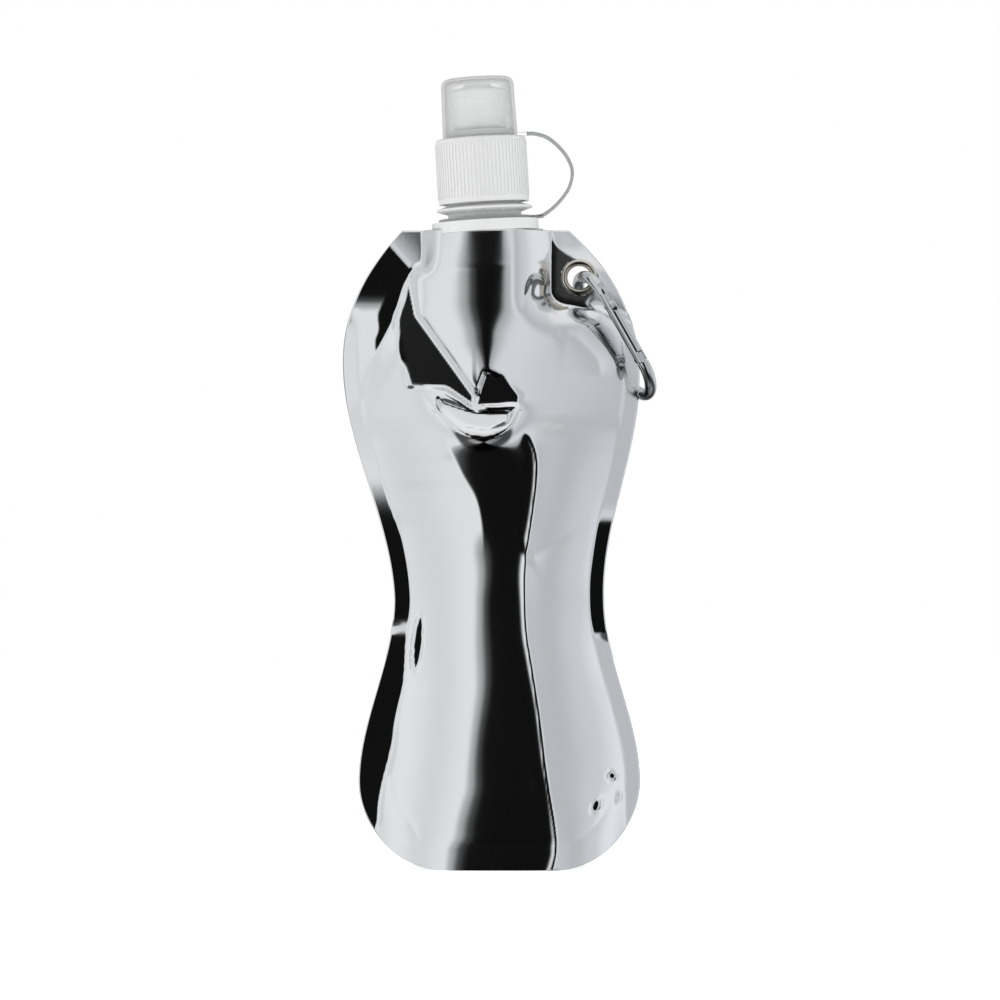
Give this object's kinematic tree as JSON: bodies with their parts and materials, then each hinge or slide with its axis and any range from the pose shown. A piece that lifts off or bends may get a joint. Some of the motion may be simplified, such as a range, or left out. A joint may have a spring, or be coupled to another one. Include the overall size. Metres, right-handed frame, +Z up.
{
  "type": "folding water bottle",
  "caption": "Soft flat-folding drinking pouch with a gusseted foot, threaded spout, push-pull sports cap on a strap, corner eyelet and snap hook.",
  "frame": {"origin": "centre of the foot, on the surface the bottle stands on", "axes": "+Z up along the bottle, +X to the right seen from the front, front faces -Y"},
  "size_m": [0.1049, 0.044, 0.2647],
  "materials": {
    "foil_film": "metallised film laminate, bright silver, heat-weld bands",
    "natural_plastic": "natural polyethylene, moulded, translucent",
    "grey_plastic": "moulded polyethylene, satin",
    "cover_plastic": "translucent grey, moulded",
    "white_plastic": "moulded, fine vertical ribs",
    "nozzle_plastic": "soft translucent polyethylene",
    "liner_foam": "foamed liner",
    "seal_rubber": "silicone",
    "eyelet_metal": "nickel over brass",
    "hook_metal": "polished plated steel",
    "pin_metal": "plain steel"
  },
  "bodies": {
    "upper_pouch": {"front_panel_upper": "foil_film", "back_panel_upper": "foil_film", "spout": "natural_plastic", "tether_ring": "grey_plastic", "tether_strap": "grey_plastic", "eyelet_barrel": "eyelet_metal", "eyelet_washer": "eyelet_metal"},
    "lower_pouch": {"front_panel_lower": "foil_film", "back_panel_lower": "foil_film", "bottom_gusset": "foil_film"},
    "cap_carrier": {"cap_liner": "liner_foam"},
    "cap": {"screw_cap": "white_plastic", "nozzle_seal": "seal_rubber"},
    "nozzle": {"nozzle": "nozzle_plastic"},
    "cover": {"dust_cover": "cover_plastic"},
    "hook": {"carabiner_body": "hook_metal"},
    "gate": {"carabiner_gate": "hook_metal", "gate_hinge_pin": "pin_metal", "gate_catch_pin": "pin_metal", "gate_plunger": "pin_metal", "gate_spring": "pin_metal"}
  },
  "joints": [
    {"name": "waist_fold", "type": "hinge", "parent": "upper_pouch", "child": "lower_pouch", "pos_m": [0, 0.0131, 0.0895], "axis": [1, 0, 0], "range_deg": [0, 160]},
    {"name": "cap_lift", "type": "slide", "parent": "upper_pouch", "child": "cap_carrier", "axis": [-0.0576, 0, 0.9983], "range_m": [0, 0.0096]},
    {"name": "cap_turn", "type": "hinge", "parent": "cap_carrier", "child": "cap", "pos_m": [-0.00385, 0, 0.2015], "axis": [-0.0576, 0, 0.9983], "range_deg": [0, 1080]},
    {"name": "nozzle_pull", "type": "slide", "parent": "cap_carrier", "child": "nozzle", "axis": [-0.0576, 0, 0.9983], "range_m": [0, 0.0045]},
    {"name": "cover_pull", "type": "slide", "parent": "nozzle", "child": "cover", "axis": [-0.0576, 0, 0.9983], "range_m": [0, 0.03]},
    {"name": "hook_swing", "type": "hinge", "parent": "upper_pouch", "child": "hook", "pos_m": [0.0268, 0, 0.1973], "axis": [0, -1, 0], "range_deg": [0, 95]},
    {"name": "gate_open", "type": "hinge", "parent": "hook", "child": "gate", "pos_m": [0.0371, -0.00911, 0.18774], "axis": [0.807, 0.3746, 0.4566], "range_deg": [0, 18], "stiffness_Nm_per_rad": 0.01, "springref_deg": -22.92}
  ],
  "couplings": [
    {"joint": "cap_lift", "follows": "cap_turn", "m_per_rad": 0.0005093}
  ]
}
